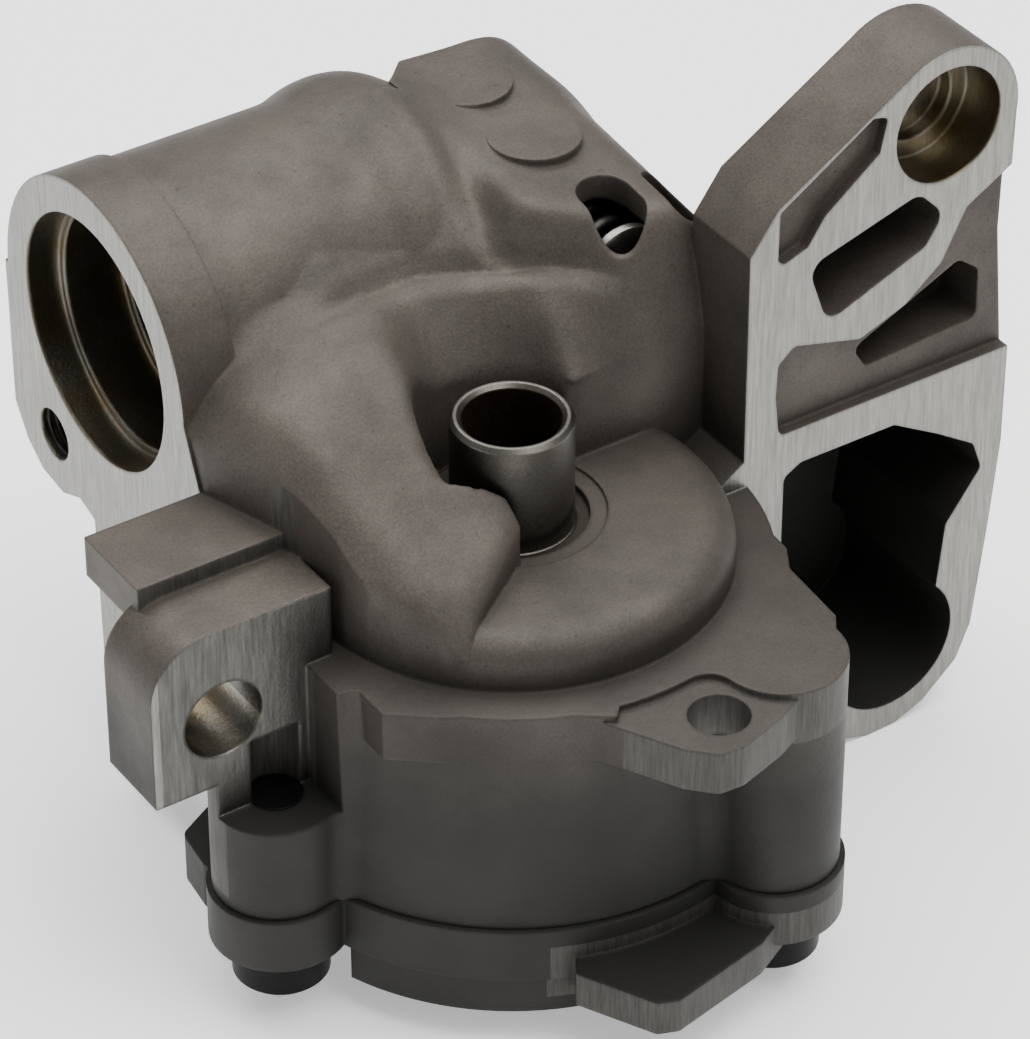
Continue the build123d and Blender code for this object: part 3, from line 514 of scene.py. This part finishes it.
def casting(name, planes, bores, trimmed):
    """Blasted casting with painted shade low down, milled planes, turned bores and trimmed edges.
    Places are in mm.
    """
    paint = metal(name, SKIN, 0.54, 0.42, 0.055, 0.8, 2.2, 0.6, metallic=0.35)
    tree = paint.node_tree
    shader = tree.nodes["Principled BSDF"]
    colour, rough = shader.inputs["Base Color"], shader.inputs["Roughness"]
    metal_share = shader.inputs["Metallic"]
    height = add(tree, "SeparateXYZ", [add(tree, "TexCoord").outputs["Object"]]).outputs[2]
    # Painted shade: the skin is blended darker towards the bottom, where less light falls from
    # above.
    low_shade = add(tree, "MapRange", [height, SHADE_FROM_Z * MM, SHADE_TO_Z * MM, 0.0, DEEPEST_SHADE])
    feed(tree, colour, low_shade.outputs[0], LOW_PAINTED_SHADE)
    marks = use_group(tree, lines, Pitch=0.45 * MM, Stretch=0.06).outputs["Lines"]
    marks = add(tree, "MapRange", [marks, 0.3, 0.7, 0.0, 1.0]).outputs[0]
    if bores:
        uses = [
            use_group(tree, bore, Mouth=in_metres(m), Axis=axis, Radius=r * MM, Depth=depth * MM)
            for m, axis, r, depth in bores
        ]
        in_bores = most_of(tree, uses, "Mask")
        clouds = use_group(tree, grain, Cloud_size=9 * MM)
        turned_tone = blend(tree, marks, BORE_DARK, BORE_LIGHT)
        stained = sums(tree, "MULTIPLY", clouds.outputs["Clouds"], most_of(tree, uses, "Deep"))
        feed(tree, colour, in_bores, blend(tree, stained, turned_tone, STAIN))
        feed(tree, rough, in_bores, BORE_ROUGH)
        feed(tree, metal_share, in_bores, 1.0)
    if planes:
        uses = [use_group(tree, plane, Facing=way, Place=at * MM) for way, at in planes]
        flats = most_of(tree, uses, "Mask")
        satin = add(tree, "MapRange", [marks, 0.0, 1.0, 0.46, 0.34])
        feed(tree, colour, flats, blend(tree, marks, CUT_DARK, CUT_LIGHT))
        feed(tree, rough, flats, satin.outputs[0])
        feed(tree, metal_share, flats, MILLED_METAL)
    uses = [use_group(tree, box, Middle=in_metres(m), Half=in_metres(h)) for m, h in trimmed]
    trims = sums(tree, "MULTIPLY", most_of(tree, uses, "Mask"), TRIM_STRENGTH)
    feed(tree, colour, trims, blend(tree, marks, TRIM_DARK, TRIM_LIGHT))
    return paint


dress(casting("casting", MILLED, BORES, TRIMMED), "pump_housing")
dress(casting("cover_casting", (), (), COVER_TRIMMED), "pump_cover")
print("casting finishes on", nodes["pump_housing"].name, "and", nodes["pump_cover"].name)

# %% [markdown]
# Casting rounds every edge of the volute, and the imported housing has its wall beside
# the shaft cut sharp. A copy of the housing gets a finer mesh there, and the finer
# part is relaxed until its edges are round. The shelf below stays where it is. Behind
# the shaft, where three surfaces of the casting meet, a crease runs between them. It
# is pressed into the finer mesh along the line of the fold.

# %% Rounded nose and crease of the volute
NOSE_LOW, NOSE_HIGH = (-31, -28, 0.6), (15, 15, 32)
FOLD_LOW, FOLD_HIGH = (-27, 3, 14), (40, 29, 33)
LONGEST_EDGE, ROUNDS, FADE = 0.9, 12, 3.0
CREASE_DEPTH, CREASE_WIDTH = 1.5, 3.6
MERGE_GAP, MOST_SPLITS, SHARP_ANGLE = 0.002, 9, 32
FOLD_FACES, FAR_AWAY = (0.0, -0.5, 0.86), 1.0
FOLD = (
    (-24.0, 22.0, 27.0),
    (-10.8, 24.0, 27.6),
    (0.0, 24.6, 27.2),
    (9.5, 20.0, 27.2),
    (16.0, 16.0, 27.6),
    (21.4, 12.0, 27.0),
    (25.5, 9.7, 25.3),
)


def merged(mesh):
    """A mesh to work on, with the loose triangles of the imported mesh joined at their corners."""
    work = bmesh.new()
    work.from_mesh(mesh)
    bmesh.ops.remove_doubles(work, verts=work.verts, dist=MERGE_GAP * MM)
    return work


def smooth(mesh):
    """Shades a merged mesh smooth, apart from its sharp edges, without the normals it had loose."""
    mesh.attributes.remove(mesh.attributes["custom_normal"])
    mesh.shade_smooth()
    mesh.set_sharp_from_angle(angle=math.radians(SHARP_ANGLE))


def finer(mesh, low, high, longest):
    """Splits a mesh's long edges inside a box until all are short.

    Slivers that fold onto one another are taken out in pairs, which leaves the mesh closed."""
    work = merged(mesh)
    for _ in range(MOST_SPLITS):
        long_ones = []
        for edge in work.edges:
            middle = (edge.verts[0].co + edge.verts[1].co) / 2
            inside_box = all(low[i] < middle[i] < high[i] for i in range(3))
            if edge.calc_length() > longest and inside_box:
                long_ones.append(edge)
        if not long_ones:
            break
        bmesh.ops.subdivide_edges(work, edges=long_ones, cuts=1)
        bmesh.ops.triangulate(work, faces=[face for face in work.faces if len(face.verts) > 3])
    alike = {}
    for face in work.faces:
        alike.setdefault(tuple(sorted(corner.index for corner in face.verts)), []).append(face)
    spare = [face for same in alike.values() for face in same[len(same) % 2 :] if len(same) > 1]
    bmesh.ops.delete(work, geom=spare, context="FACES")
    print("finer:", len(work.faces), "faces, removed", len(spare), "that lay on one another")
    work.to_mesh(mesh)
    work.free()


def read(mesh, label):
    """The places or the normals of a mesh's points, one row each."""
    values = np.empty(len(mesh.vertices) * 3)
    mesh.vertices.foreach_get(label, values)
    return values.reshape(-1, 3)


def relax(mesh, low, high, fade, rounds):
    """Moves points inside a box towards their neighbours, less so near the box's sides."""
    points = read(mesh, "co")
    ends = np.empty(len(mesh.edges) * 2, dtype=np.int64)
    mesh.edges.foreach_get("vertices", ends)
    first, second = ends.reshape(-1, 2).T
    degree = np.bincount(ends, minlength=len(points))[:, None]
    inner = np.minimum(points - np.array(low), np.array(high) - points)
    inner[:, 2] = np.where(points[:, 2] - low[2] > 0, fade, 0.0)
    weight = np.clip(inner.min(axis=1) / fade, 0.0, 1.0)[:, None]
    for _ in range(rounds):
        total = np.zeros_like(points)
        np.add.at(total, first, points[second])
        np.add.at(total, second, points[first])
        points = points + 0.5 * weight * (total / np.maximum(degree, 1) - points)
    mesh.vertices.foreach_set("co", points.ravel())
    mesh.update()


def crease(mesh, path, depth, width):
    """Presses a sharp groove into a mesh along a path, deepest in the middle of the path."""
    points, normals = read(mesh, "co"), read(mesh, "normal")
    nearest = np.full(len(points), FAR_AWAY)
    fade = np.zeros(len(points))
    path = np.array(path)
    for index, (start, end) in enumerate(zip(path[:-1], path[1:])):
        run = end - start
        part = np.clip((points - start) @ run / (run @ run), 0.0, 1.0)
        gap = np.linalg.norm(points - start - part[:, None] * run, axis=1)
        closer = gap < nearest
        nearest = np.where(closer, gap, nearest)
        fade = np.where(closer, (index + part) / (len(path) - 1), fade)
    strength = np.clip(1.0 - nearest / width, 0.0, 1.0) ** 1.6 * np.sin(np.pi * fade) ** 0.5
    outside = normals @ np.array(FOLD_FACES) > 0.2
    strength = strength * outside
    points = points - depth * strength[:, None] * normals
    mesh.vertices.foreach_set("co", points.ravel())
    mesh.update()


housing_mesh = nodes["pump_housing"].data.copy()
housing_mesh.name = "housing_casting"
nose_low, nose_high = in_metres(NOSE_LOW), in_metres(NOSE_HIGH)
finer(housing_mesh, nose_low, nose_high, LONGEST_EDGE * MM)
finer(housing_mesh, in_metres(FOLD_LOW), in_metres(FOLD_HIGH), LONGEST_EDGE * MM)
relax(housing_mesh, nose_low, nose_high, FADE * MM, ROUNDS)
fold_line = [in_metres(place) for place in FOLD]
crease(housing_mesh, fold_line, CREASE_DEPTH * MM, CREASE_WIDTH * MM)
smooth(housing_mesh)
housing = place_object("housing_casting", housing_mesh)
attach(housing, "housing")
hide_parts("pump_housing")
print("housing faces:", len(housing_mesh.polygons))

# %% [markdown]
# The relief spring shortens as the piston slides back. A copy of it, with its loose
# triangles joined at their corners, is shaded smooth and takes the place of the imported spring.

# %% Relief spring
coil_mesh = nodes["relief_spring"].data.copy()
work = merged(coil_mesh)
work.to_mesh(coil_mesh)
work.free()
smooth(coil_mesh)
coil = place_object("relief_coil", coil_mesh)
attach(coil, "housing")
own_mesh(coil)
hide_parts("relief_spring")

# %% [markdown]
# The bolt hole in the port's flange is threaded. A triangle that runs round a spiral,
# built by Geometry Nodes, gives the thread.

# %% Thread in the flange's bolt hole
THREAD_R, THREAD_DEPTH, THREAD_PITCH, THREAD_LENGTH = 4.28, 0.55, 1.25, 8.0
HOLE = Vector((-39.2, 63.2, -8.4)) * MM


def thread_tree(finish):
    """A Geometry Nodes tree that draws a spiral thread and gives it a finish."""
    tree = bpy.data.node_groups.new("spiral_thread", "GeometryNodeTree")
    for label in ("Radius", "Depth", "Pitch", "Length"):
        tree.interface.new_socket(label, in_out="INPUT", socket_type="NodeSocketFloat")
    tree.interface.new_socket("Geometry", in_out="OUTPUT", socket_type="NodeSocketGeometry")
    given, result = tree.nodes.new("NodeGroupInput"), tree.nodes.new("NodeGroupOutput")

    def make(kind, **links):
        """Adds a geometry node, with values or sockets by socket name."""
        node = tree.nodes.new("GeometryNode" + kind)
        for label, value in links.items():
            give(tree, node.inputs[label.replace("_", " ")], value)
        return node

    turns = tree.nodes.new("ShaderNodeMath")
    turns.operation = "DIVIDE"
    tree.links.new(given.outputs["Length"], turns.inputs[0])
    tree.links.new(given.outputs["Pitch"], turns.inputs[1])
    spiral = make(
        "CurveSpiral",
        Resolution=48,
        Rotations=turns.outputs[0],
        Start_Radius=given.outputs["Radius"],
        End_Radius=given.outputs["Radius"],
        Height=given.outputs["Length"],
    )
    profile = make("CurvePrimitiveCircle", Resolution=3, Radius=given.outputs["Depth"])
    swept = make(
        "CurveToMesh", Curve=spiral.outputs[0], Profile_Curve=profile.outputs[0], Fill_Caps=True
    )
    realized = make("RealizeInstances", Geometry=swept.outputs[0])
    finished = make("SetMaterial", Geometry=realized.outputs[0], Material=finish)
    tree.links.new(finished.outputs[0], result.inputs["Geometry"])
    return tree


def plain_mesh(tree, values, name):
    """Runs a Geometry Nodes tree with named inputs and returns its result as a plain mesh."""
    base = bpy.data.objects.new(name + "_base", bpy.data.meshes.new(name + "_base"))
    bpy.context.scene.collection.objects.link(base)
    modifier = base.modifiers.new("build", "NODES")
    modifier.node_group = tree
    for item in tree.interface.items_tree:
        if item.in_out == "INPUT" and item.name in values:
            modifier[item.identifier] = values[item.name]
    base.update_tag()
    ready = base.evaluated_get(bpy.context.evaluated_depsgraph_get())
    mesh = bpy.data.meshes.new_from_object(ready)
    mesh.name = name
    base.modifiers.remove(modifier)
    bpy.data.objects.remove(base)
    return mesh


sizes = {
    "Radius": THREAD_R * MM,
    "Depth": THREAD_DEPTH * MM,
    "Pitch": THREAD_PITCH * MM,
    "Length": THREAD_LENGTH * MM,
}
thread_mesh = plain_mesh(thread_tree(wire), sizes, "port_bolt_thread")
thread_mesh.transform(Matrix.Translation(HOLE) @ Matrix.Rotation(math.radians(90), 4, "Y"))
thread = place_object("port_bolt_thread", thread_mesh)
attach(thread, "housing")
print("thread faces:", len(thread_mesh.polygons))
